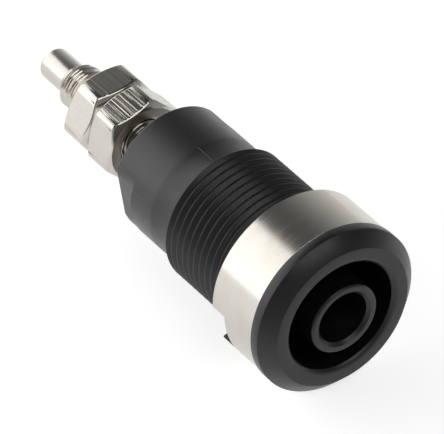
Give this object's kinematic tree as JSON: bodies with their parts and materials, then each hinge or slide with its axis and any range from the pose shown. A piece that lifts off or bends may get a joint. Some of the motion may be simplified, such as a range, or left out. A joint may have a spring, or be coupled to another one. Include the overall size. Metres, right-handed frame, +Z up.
{
  "type": "banana socket",
  "caption": "Panel socket for a shrouded banana plug: flanged black threaded body with an insulated contact, slotted nickel ring nut and a threaded terminal stud with hexagon nuts.",
  "frame": {"origin": "on the socket's axis, in the plane of the flange's front face, inside the guard sleeve's lip", "axes": "+Y along the axis from the front face to the terminal stud, so the front faces -Y; +Z up"},
  "size_m": [0.0148, 0.04, 0.0148],
  "materials": {
    "black_polyamide": "satin moulded",
    "nickel_plated_brass": "nickel plated, turned"
  },
  "bodies": {
    "socket": {"housing": "black_polyamide", "guard_sleeve": "black_polyamide", "contact": "nickel_plated_brass"},
    "ring": {"ring_nut": "nickel_plated_brass"},
    "nut_front": {"front_nut": "nickel_plated_brass"},
    "nut_rear": {"rear_nut": "nickel_plated_brass"}
  },
  "joints": [
    {"name": "ring_nut_travel", "type": "slide", "parent": "socket", "child": "ring", "axis": [0, 1, 0], "range_m": [0, 0.0086]},
    {"name": "front_nut_travel", "type": "slide", "parent": "socket", "child": "nut_front", "axis": [0, -1, 0], "range_m": [0, 0.0032]},
    {"name": "rear_nut_travel", "type": "slide", "parent": "socket", "child": "nut_rear", "axis": [0, 1, 0], "range_m": [0, 0.0069]}
  ]
}
